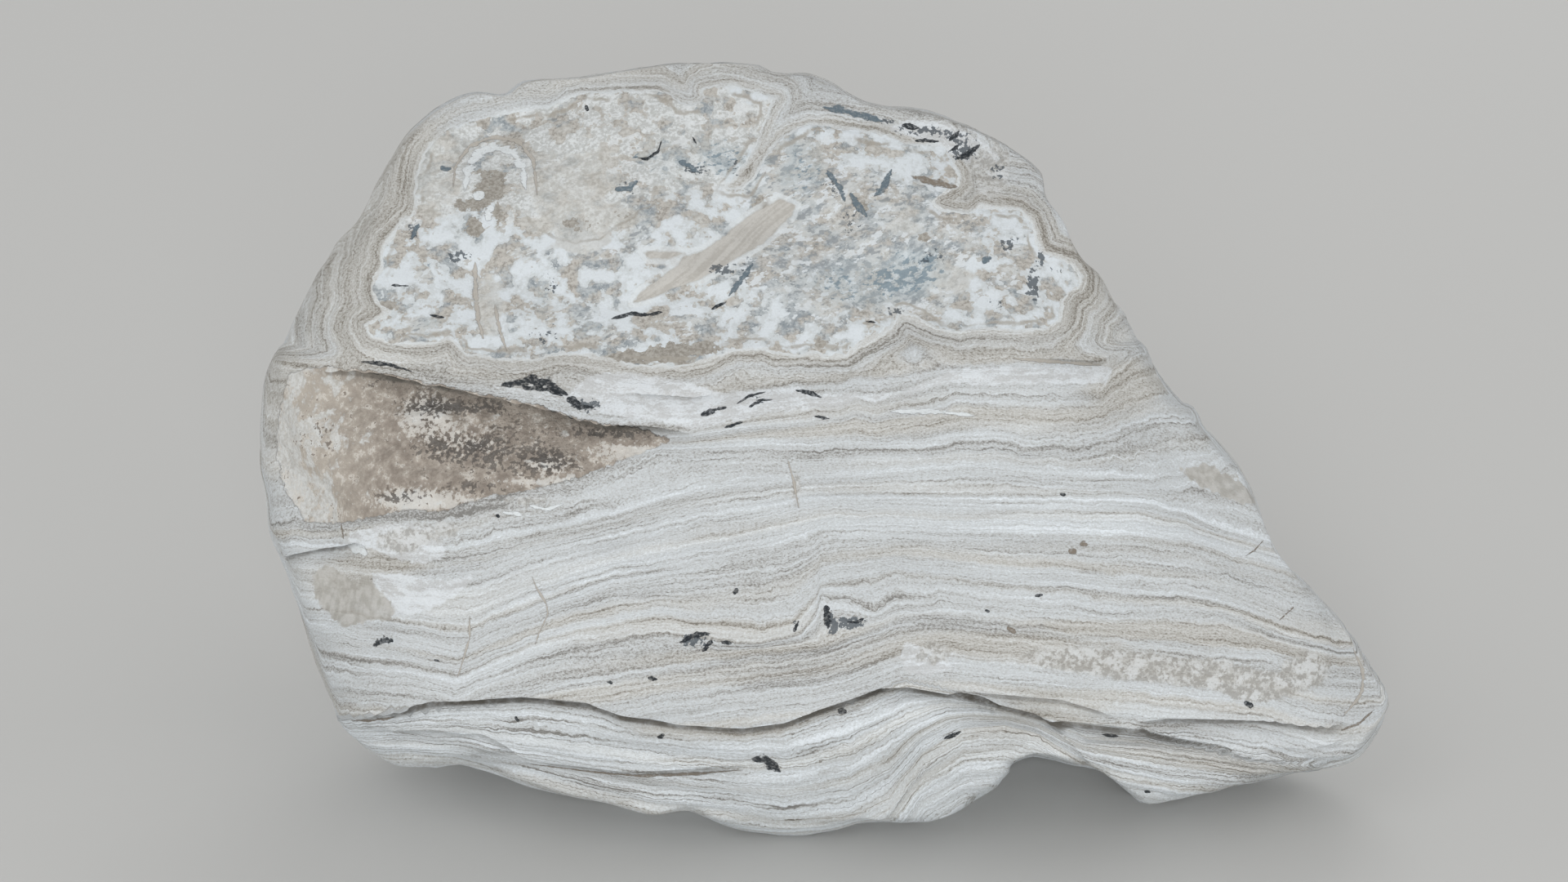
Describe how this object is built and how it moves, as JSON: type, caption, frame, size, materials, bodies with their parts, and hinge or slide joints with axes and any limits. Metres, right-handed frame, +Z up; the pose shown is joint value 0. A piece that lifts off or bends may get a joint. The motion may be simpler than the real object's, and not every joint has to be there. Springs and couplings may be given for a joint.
{
  "type": "diatomite stone",
  "caption": "Weathered lump of laminated diatomite with a long toe, an undercut crease and a notch below, resting on a small flat base.",
  "frame": {"origin": "middle of the stone's bounding box, at the height of its flat base", "axes": "+X along the stone's length towards its toe, -Y out of the broad face, +Z up"},
  "size_m": [0.2759, 0.1485, 0.1637],
  "materials": {
    "diatomite": "matt, fine-grained, white and pale grey laminae with beige and brown patches and a few black flecks"
  },
  "bodies": {
    "root": {"stone": "diatomite"}
  },
  "joints": []
}
